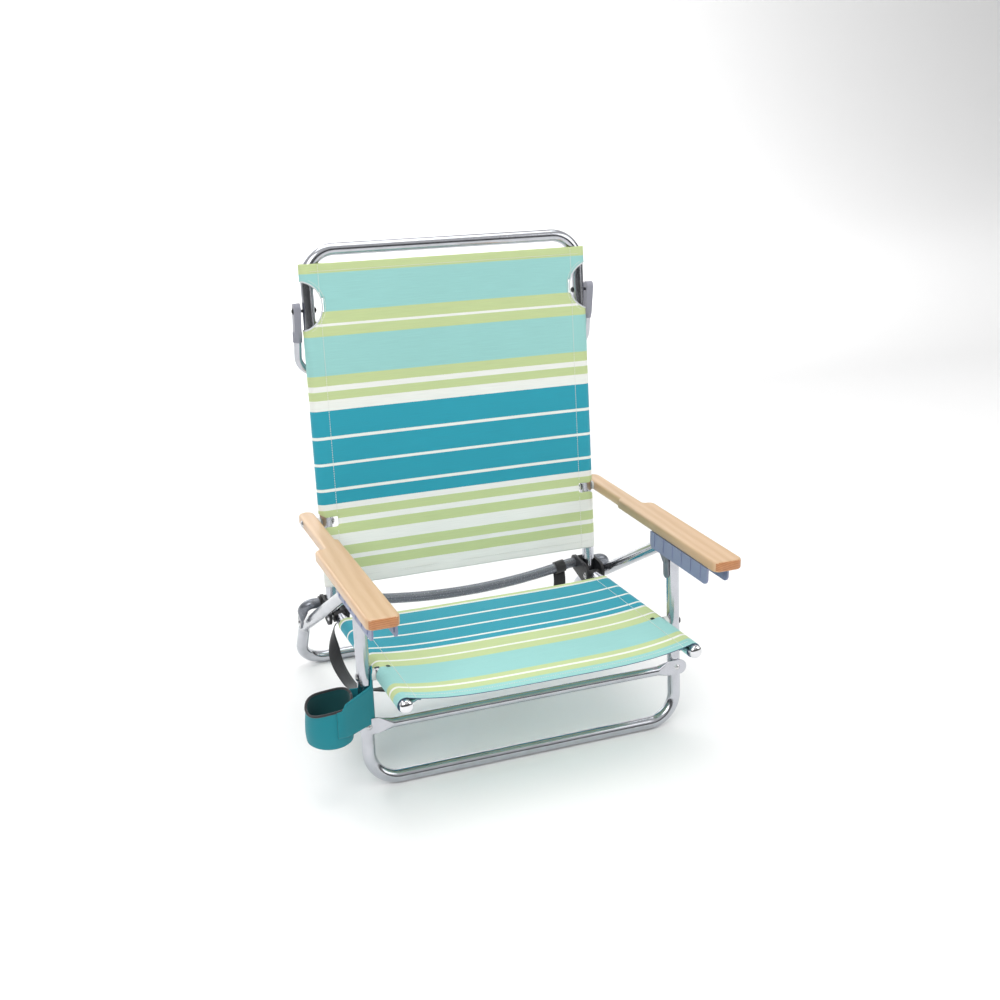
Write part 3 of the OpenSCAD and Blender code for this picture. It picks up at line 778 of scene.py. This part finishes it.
def stitch_tree():
    """A node tree that lays stitches along every edge path it is given."""
    tree = bpy.data.node_groups.new("Stitches", "GeometryNodeTree")
    add = tree.interface.new_socket
    add("Geometry", in_out="INPUT", socket_type="NodeSocketGeometry")
    sizes = {"Pitch": 0.0048, "Length": 0.0034, "Radius": 0.00055}
    names = {}
    for name, value in sizes.items():
        item = add(name, in_out="INPUT", socket_type="NodeSocketFloat")
        item.default_value = value
        names[name] = item.identifier
    names["Thread"] = add("Thread", in_out="INPUT", socket_type="NodeSocketMaterial").identifier
    add("Geometry", in_out="OUTPUT", socket_type="NodeSocketGeometry")
    new, link = tree.nodes.new, tree.links.new
    given, result = new("NodeGroupInput"), new("NodeGroupOutput")
    to_curve = new("GeometryNodeMeshToCurve")
    even = new("GeometryNodeResampleCurve")
    even.mode = "LENGTH"
    thread = new("GeometryNodeMeshCylinder")
    thread.inputs["Vertices"].default_value = 7
    along = new("GeometryNodeInputTangent")
    turn = new("FunctionNodeAlignRotationToVector")
    turn.axis = "Z"
    lay = new("GeometryNodeInstanceOnPoints")
    real = new("GeometryNodeRealizeInstances")
    paint = new("GeometryNodeSetMaterial")
    link(given.outputs["Geometry"], to_curve.inputs[0])
    link(to_curve.outputs[0], even.inputs["Curve"])
    link(given.outputs["Pitch"], even.inputs["Length"])
    link(given.outputs["Radius"], thread.inputs["Radius"])
    link(given.outputs["Length"], thread.inputs["Depth"])
    link(along.outputs[0], turn.inputs["Vector"])
    link(even.outputs[0], lay.inputs["Points"])
    link(thread.outputs["Mesh"], lay.inputs["Instance"])
    link(turn.outputs[0], lay.inputs["Rotation"])
    link(lay.outputs[0], real.inputs[0])
    link(real.outputs[0], paint.inputs["Geometry"])
    link(given.outputs["Thread"], paint.inputs["Material"])
    link(paint.outputs[0], result.inputs[0])
    return tree, names


def sew(name, paths, pitch, thread, body):
    """Stitches along the paths as one plain mesh that rides on a body."""
    tree, names = stitch_tree()
    verts, edges = [], []
    for path in paths:
        edges += [(len(verts) + i, len(verts) + i + 1) for i in range(len(path) - 1)]
        verts += path
    mesh = bpy.data.meshes.new(name)
    mesh.from_pydata(verts, edges, [])
    rows = new_object(name, mesh)
    stitch = rows.modifiers.new("Stitches", "NODES")
    stitch.node_group = tree
    for key, value in (("Pitch", pitch), ("Length", pitch * 0.68), ("Radius", 0.00055), ("Thread", thread)):
        stitch[names[key]] = value
    baked(rows)
    rows.data.polygons.foreach_set("use_smooth", [True] * len(rows.data.polygons))
    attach(rows, body)
    return rows


def straight(a, b, at, steps=60):
    """Path points for a parameter from a to b through the function at."""
    return [at(a + (b - a) * i / steps) for i in range(steps + 1)]


class BEACH_OT_stitching(bpy.types.Operator):
    """Sews the hems and sleeves of both slings"""

    bl_idname = "beach.stitching"
    bl_label = "Stitching"

    def execute(self, context):
        w = context.scene.beach_sling
        proud = w.thickness / 2 + 0.0002
        thread = cloth_finish("thread", srgb(232, 234, 228), (), 0.0008)

        def on_seat(x, y):
            return rail_point(x, y, seat_lift(x, y, w.seat_sag) + proud)

        def on_back(x, h):
            return back_point(x, h, back_lift(x, h, w.back_sag) + proud)

        seat = [straight(SEAT_FRONT + 0.004, SEAT_REAR - 0.004, lambda y, s=s: on_seat(s * 0.2655, y))
                for s in (-1, 1)]
        for y in (SEAT_FRONT + 0.014, SEAT_REAR - 0.013):
            seat.append(straight(-0.28, 0.28, lambda x, y=y: on_seat(x, y)))
        sew("seat_stitches", seat, w.stitch, thread, "seat")
        back = []
        gap = sqrt(HANDLE_R ** 2 - (HANDLE.x - 0.270) ** 2) + 0.004
        slot_h = (PIVOT["arm_level"] - BACK_FOOT).length
        for s in (-1, 1):
            for low, high in ((BACK_LOW + 0.004, slot_h - SLOT_R - 0.004), (slot_h + SLOT_R + 0.004, HANDLE.y - gap),
                              (HANDLE.y + gap, BACK_HIGH - 0.004)):
                back.append(straight(low, high, lambda h, s=s: on_back(s * 0.270, h)))
            half = acos((HANDLE.x - 0.289) / (HANDLE_R + 0.006))
            back.append(straight(pi - half, pi + half, lambda a, s=s: on_back(
                s * (HANDLE.x + (HANDLE_R + 0.006) * cos(a)), HANDLE.y + (HANDLE_R + 0.006) * sin(a))))
        for h in (BACK_LOW + 0.016, BACK_HIGH - 0.015):
            back.append(straight(-0.284, 0.284, lambda x, h=h: on_back(x, h)))
        sew("back_stitches", back, w.stitch, thread, "back")
        return {"FINISHED"}


# ---------- armrest boards ----------


def board_outline():
    """The right board from above, in metres about its pivot: wide in front, a narrow neck behind."""
    inside, wide, neck = 0.300, 0.061, 0.032
    front, step, tail, r = -0.536, -0.178, 0.028, 0.014
    points = []

    def arc(cx, cy, radius, a0, a1, n):
        for i in range(n + 1):
            a = radians(a0 + (a1 - a0) * i / n)
            points.append((cx + radius * cos(a), cy + radius * sin(a)))

    arc(inside + r, front + r, r, 180, 270, 8)
    arc(inside + wide - r, front + r, r, 270, 360, 8)
    arc(inside + wide - r, step - r, r, 0, 78, 7)
    arc(inside + 0.008 + neck + 0.006, step + 0.006, 0.006, 258, 180, 5)
    arc(inside + 0.008 + neck / 2, tail, neck / 2, 0, 180, 16)
    arc(inside + 0.008 - 0.008, step + 0.048, 0.008, 0, -80, 5)
    return points


class BEACH_OT_armrests(bpy.types.Operator):
    """Makes the two wooden armrest boards with eased edges and cut end grain"""

    bl_idname = "beach.armrests"
    bl_label = "Armrest boards"

    def execute(self, context):
        w = context.scene.beach_board
        wood = wood_finish("board_wood", rgba(w.light), rgba(w.dark))
        end = wood_finish("board_end_grain", srgb(206, 146, 96), srgb(166, 104, 60), True)
        outline = board_outline()
        for side, s in (("left", -1), ("right", 1)):
            bm = bmesh.new()
            loops = [[bm.verts.new((s * x, y, z)) for x, y in outline] for z in (-0.0105, 0.0105)]
            n = len(outline)
            for i in range(n):
                j = (i + 1) % n
                bm.faces.new((loops[0][i], loops[0][j], loops[1][j], loops[1][i]))
            bm.faces.new(loops[0])
            bm.faces.new(loops[1])
            bmesh.ops.recalc_face_normals(bm, faces=bm.faces)
            rims = [e for e in bm.edges if abs(e.verts[0].co.z - e.verts[1].co.z) < 1e-6]
            bmesh.ops.bevel(bm, geom=rims, offset=w.round_over, segments=4, profile=0.5, affect="EDGES")
            for face in bm.faces:
                face.material_index = 1 if face.normal.y < -0.75 and face.calc_center_median().y < -0.5 else 0
                face.smooth = abs(face.normal.z) < 0.999
            turn = Matrix.Translation(Vector((0, PIVOT["arm_level"].y, PIVOT["arm_level"].z)))
            bmesh.ops.transform(bm, matrix=turn @ Matrix.Rotation(-BOARD_TILT, 4, "X"), verts=bm.verts)
            mesh = bpy.data.meshes.new("board_" + side)
            bm.to_mesh(mesh)
            bm.free()
            board = new_object("board_" + side, mesh, wood, end)
            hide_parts("armrest_" + side)
            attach(board, "armrest_" + side)
        return {"FINISHED"}


# ---------- cup holder ----------


class BEACH_OT_cup_holder(bpy.types.Operator):
    """Makes the cloth cup holder on the left front leg: pouch, bound rim and the flap round the leg"""

    bl_idname = "beach.cup_holder"
    bl_label = "Cup holder"

    def execute(self, context):
        w = context.scene.beach_pouch
        cloth = cloth_finish("pouch_cloth", rgba(w.cloth), (), 0.0014)
        # Darker teal of the same cloth for the pouch's inner face: painted shade inside the pouch
        painted_inside_shade = cloth_finish("pouch_inside_painted_shade", srgb(10, 84, 88), (), 0.0014)
        edge = webbing_finish("pouch_binding", srgb(30, 31, 34))
        low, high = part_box("cup_holder")
        centre = Vector(((low.x + high.x) / 2, (low.y + high.y) / 2, low.z))
        tall = high.z - low.z
        self.pouch(w, centre, tall, cloth, painted_inside_shade)
        self.rim(w, centre, tall, edge)
        self.flap(w, centre, cloth, edge)
        return {"FINISHED"}

    @staticmethod
    def rim_height(a, tall):
        """The rim dips at the front outside and climbs towards the leg."""
        return tall * (0.90 + 0.10 * cos(a - radians(20)) + 0.035 * sin(3 * a + 0.6))

    @staticmethod
    def wall_radius(a, t, radius):
        """The pouch bulges low down and is drawn in a little at its rim."""
        return radius * (0.955 + 0.045 * sin(pi * min(1.0, t * 1.15) ** 0.8)) * (1 + 0.012 * sin(2 * a + 0.8) * t)

    def pouch(self, w, centre, tall, cloth, painted_inside_shade):
        n, rows, uvs = 73, [], []
        for r in (0.0, 0.35, 0.7, 0.88):
            rows.append([centre + Vector((r * w.radius * cos(a), r * w.radius * sin(a), 0.0016 * (1 - r)))
                         for a in (2 * pi * k / (n - 1) for k in range(n))])
            uvs.append([(k / (n - 1) * 0.28, r * 0.04) for k in range(n)])
        for i in range(28):
            t = i / 27
            row = []
            for k in range(n):
                a = 2 * pi * k / (n - 1)
                z = 0.003 + (self.rim_height(a, tall) - 0.003) * t
                row.append(centre + Vector((cos(a), sin(a), 0)) * self.wall_radius(a, t, w.radius) + Vector((0, 0, z)))
            rows.append(row)
            uvs.append([(k / (n - 1) * 0.28, 0.04 + t * tall) for k in range(n)])
        pouch = new_object("cup_pouch", grid_mesh("cup_pouch", rows, uvs), cloth, painted_inside_shade)
        bm = bmesh.new()
        bm.from_mesh(pouch.data)
        bmesh.ops.remove_doubles(bm, verts=bm.verts, dist=1e-5)
        bmesh.ops.recalc_face_normals(bm, faces=bm.faces)
        if min(bm.faces, key=lambda f: f.calc_center_median().z).normal.z > 0:
            bmesh.ops.reverse_faces(bm, faces=bm.faces)
        bm.to_mesh(pouch.data)
        bm.free()
        thicken(pouch, 0.0022, -1.0)
        # The inner shell takes the darker teal, painted shade inside the pouch
        pouch.modifiers["Wall"].material_offset = 1
        baked(pouch)
        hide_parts("cup_holder")
        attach(pouch, "front_leg")

    def rim(self, w, centre, tall, edge):
        path = []
        for k in range(97):
            a = 2 * pi * k / 96
            path.append(centre + Vector((cos(a), sin(a), 0)) * (self.wall_radius(a, 1.0, w.radius) - 0.0011)
                        + Vector((0, 0, self.rim_height(a, tall))))
        bead = new_object("cup_rim_binding", bead_mesh("cup_rim_binding", path, 0.0024, 12), edge)
        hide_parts("cup_holder_rim")
        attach(bead, "front_leg")

    def flap(self, w, centre, cloth, edge):
        """A collar round the leg that runs on into the pouch's wall."""
        low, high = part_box("cup_holder_sleeve")
        rows, uvs = [], []
        leg_a, pouch_a = leg_point(0.12), centre
        gap = Vector((leg_a.x - pouch_a.x, leg_a.y - pouch_a.y, 0))
        toward = atan2(gap.y, gap.x)
        collar = 0.0152
        tilt = acos((w.radius - collar) / gap.length)
        marks = []
        for i in range(9):
            a = toward + tilt + radians(26) * (1 - i / 8)
            marks.append(("pouch", a))
        for i in range(25):
            a = toward + tilt - 2 * tilt * i / 24
            marks.append(("leg", a))
        for i in range(9):
            marks.append(("pouch", toward - tilt - radians(26) * i / 8))
        foot = centre.z + 0.008
        for j in range(17):
            v = j / 16
            row, uv = [], []
            for i, (kind, a) in enumerate(marks):
                share = i / (len(marks) - 1)
                peak = max(0.0, 1 - abs(share - 0.56) / 0.36)
                top = centre.z + 0.074 + 0.048 * (peak * peak * (3 - 2 * peak))
                bottom = foot + 0.016 * (0.5 + 0.5 * cos(2 * pi * share))
                z = bottom + (top - bottom) * v
                if kind == "leg":
                    h = (z - LEG_FOOT.z) / cos(LEG_LEAN)
                    middle = leg_point(h)
                    p = middle + Vector((cos(a), sin(a), 0)) * collar
                else:
                    t = min(1.0, max(0.0, (z - centre.z) / 0.084))
                    p = centre + Vector((cos(a), sin(a), 0)) * (self.wall_radius(a, t, w.radius) + 0.0009)
                row.append(Vector((p.x, p.y, z)))
                uv.append((i * 0.004, z - foot))
            rows.append(row)
            uvs.append(uv)
        mesh = grid_mesh("cup_flap", rows, uvs)
        flap = new_object("cup_flap", mesh, cloth, edge)
        thicken(flap, 0.0016, 0.0)
        baked(flap)
        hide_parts("cup_holder_sleeve")
        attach(flap, "front_leg")
        top_edge = bead_mesh("cup_flap_binding", [Vector(p) for p in rows[-1]], 0.0016, 10)
        bead = new_object("cup_flap_binding", top_edge, cloth)
        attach(bead, "front_leg")


# ---------- carry strap ----------


class BEACH_OT_carry_strap(bpy.types.Operator):
    """Makes the webbing strap that hangs under the seat between the ends of the support bar"""

    bl_idname = "beach.carry_strap"
    bl_label = "Carry strap"

    def execute(self, context):
        w = context.scene.beach_strap
        webbing = webbing_finish("strap_webbing", srgb(26, 27, 29))
        route = [(-0.232, 0.0835, 0.1975), (-0.246, 0.092, 0.176), (-0.278, 0.104, 0.146), (-0.290, 0.066, 0.100),
                 (-0.290, -0.042, 0.086), (-0.290, -0.150, 0.125), (-0.286, -0.228, 0.164),
                 (-0.262, -0.252, 0.172), (-0.200, -0.248, 0.169), (-0.060, -0.190, 0.150),
                 (0.100, -0.080, 0.135), (0.196, 0.020, 0.150), (0.228, 0.070, 0.180), (0.232, 0.0835, 0.1975)]
        path = smooth_path(route, 150)
        sides, last = [], Vector((-1.0, 0.0, 0.0))
        for i, p in enumerate(path):
            ahead = (path[min(i + 1, len(path) - 1)] - path[max(i - 1, 0)]).normalized()
            level = ahead.cross(Vector((0, 0, 1)))
            side = level.normalized() if level.length > 0.35 else last
            if side.dot(last) < 0:
                side = -side
            last = last.lerp(side, 0.16).normalized()
            sides.append((last - ahead * last.dot(ahead)).normalized())
        rows, uvs = band_rows(path, [w.width] * len(path), sides)
        strap = new_object("carry_strap_webbing", grid_mesh("carry_strap_webbing", rows, uvs), webbing)
        thicken(strap, w.thickness)
        soft = strap.modifiers.new("Edge", "BEVEL")
        soft.width, soft.segments, soft.limit_method = 0.0005, 1, "ANGLE"
        baked(strap)
        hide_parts("carry_strap")
        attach(strap, "seat")
        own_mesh(strap)
        return {"FINISHED"}


# ---------- stage ----------


class BEACH_OT_stage(bpy.types.Operator):
    """Sets the pale floor, the soft light and the camera"""

    bl_idname = "beach.stage"
    bl_label = "Stage"

    def execute(self, context):
        w = context.scene.beach_stage
        self.floor()
        self.sky(context)
        for name, place, size, power in (
            ("key_box", (-2.6, -3.0, 3.4), 2.6, 92), ("fill_box", (3.2, -2.2, 2.4), 2.8, 46),
            ("top_box", (0.2, 0.4, 4.2), 3.2, 66), ("back_box", (-1.5, 3.2, 3.0), 2.4, 36),
            ("wall_box", (0.0, 3.4, 4.4), 4.0, 420),
        ):
            light = bpy.data.lights.new(name, "AREA")
            light.shape, light.size, light.energy = "SQUARE", size, power * w.light
            box = bpy.data.objects.new(name, light)
            box.location = place
            aim = Vector((0.0, 9.0, 2.6)) if name == "wall_box" else Vector((0.0, 0.0, 0.4))
            box.rotation_euler = (aim - Vector(place)).to_track_quat("-Z", "Y").to_euler()
            context.scene.collection.objects.link(box)
        lens = bpy.data.cameras.new("camera")
        lens.lens, lens.sensor_width, lens.clip_end = w.lens, 36.0, 200.0
        camera = bpy.data.objects.new("camera", lens)
        back = Vector((sin(w.azimuth) * cos(w.elevation), -cos(w.azimuth) * cos(w.elevation), sin(w.elevation)))
        right = Vector((cos(w.azimuth), sin(w.azimuth), 0.0))
        up = back.cross(right)
        turn = Matrix((right, up, back)).transposed().to_4x4()
        camera.matrix_world = Matrix.Translation(Vector((-0.8793, -2.3541, 1.3513))) @ turn
        context.scene.collection.objects.link(camera)
        context.scene.camera = camera
        context.scene.view_settings.view_transform = "Standard"
        return {"FINISHED"}

    def floor(self):
        rows, uvs = [], []
        for i in range(60):
            y = -9.0 + 0.3 * i
            over = max(0.0, y - 5.0)
            z = 0.0 if over == 0 else 3.0 - sqrt(max(0.0, 9.0 - min(over, 3.0) ** 2)) + max(0.0, over - 3.0) * 3
            yy = y if over < 3.0 else 8.0
            rows.append([Vector((x, yy, z - 0.0006)) for x in (-14, -7, 0, 7, 14)])
            uvs.append([(x, y) for x in (0, 0.25, 0.5, 0.75, 1)])
        shade = Shade("floor_paper", Roughness=0.9)
        shade.shader.inputs["Base Color"].default_value = (0.93, 0.93, 0.93, 1)
        floor = new_object("floor", grid_mesh("floor", rows, uvs), shade.material)

    def sky(self, context):
        world = bpy.data.worlds.new("soft_sky")
        world.use_nodes = True
        tree = world.node_tree
        tree.nodes.clear()
        output = tree.nodes.new("ShaderNodeOutputWorld")
        light = tree.nodes.new("ShaderNodeBackground")
        place = tree.nodes.new("ShaderNodeTexCoord")
        split = tree.nodes.new("ShaderNodeSeparateXYZ")
        ramp = tree.nodes.new("ShaderNodeValToRGB")
        stops = ramp.color_ramp.elements
        while len(stops) < 5:
            stops.new(0.5)
        for stop, (at, tone) in zip(stops, ((0.0, 0.10), (0.16, 0.09), (0.30, 0.35), (0.48, 1.0), (1.0, 1.0))):
            stop.position, stop.color = at, grey(tone)
        tree.links.new(place.outputs["Generated"], split.inputs[0])
        tree.links.new(split.outputs["Z"], ramp.inputs[0])
        tree.links.new(ramp.outputs[0], light.inputs["Color"])
        tree.links.new(light.outputs[0], output.inputs[0])
        light.inputs["Strength"].default_value = 0.62
        context.scene.world = world


# ---------- panel ----------

STEPS = (BEACH_OT_stage, BEACH_OT_frame, BEACH_OT_seat_sling, BEACH_OT_back_sling, BEACH_OT_stitching,
         BEACH_OT_armrests, BEACH_OT_cup_holder, BEACH_OT_carry_strap)


class BEACH_PT_panel(bpy.types.Panel):
    """Lists the chair's pieces and their settings"""

    bl_idname = "BEACH_PT_panel"
    bl_label = "Beach Chair"
    bl_space_type = "VIEW_3D"
    bl_region_type = "UI"
    bl_category = "Beach Chair"

    def draw(self, context):
        for step in STEPS:
            self.layout.operator(step.bl_idname)
        for key, group in GROUPS.items():
            box = self.layout.box()
            for field in group.__annotations__:
                box.prop(getattr(context.scene, key), field)


def register():
    for group in GROUPS.values():
        bpy.utils.register_class(group)
    for key, group in GROUPS.items():
        setattr(bpy.types.Scene, key, PointerProperty(type=group))
    for step in STEPS + (BEACH_PT_panel,):
        bpy.utils.register_class(step)


def unregister():
    for step in reversed(STEPS + (BEACH_PT_panel,)):
        bpy.utils.unregister_class(step)
    for key in GROUPS:
        delattr(bpy.types.Scene, key)
    for group in reversed(list(GROUPS.values())):
        bpy.utils.unregister_class(group)


def main():
    register()
    bpy.ops.beach.stage()
    bpy.ops.beach.frame()
    bpy.ops.beach.seat_sling()
    bpy.ops.beach.back_sling()
    bpy.ops.beach.stitching()
    bpy.ops.beach.armrests()
    bpy.ops.beach.cup_holder()
    bpy.ops.beach.carry_strap()
    bpy.context.view_layer.update()


if __name__ == "__main__":
    main()
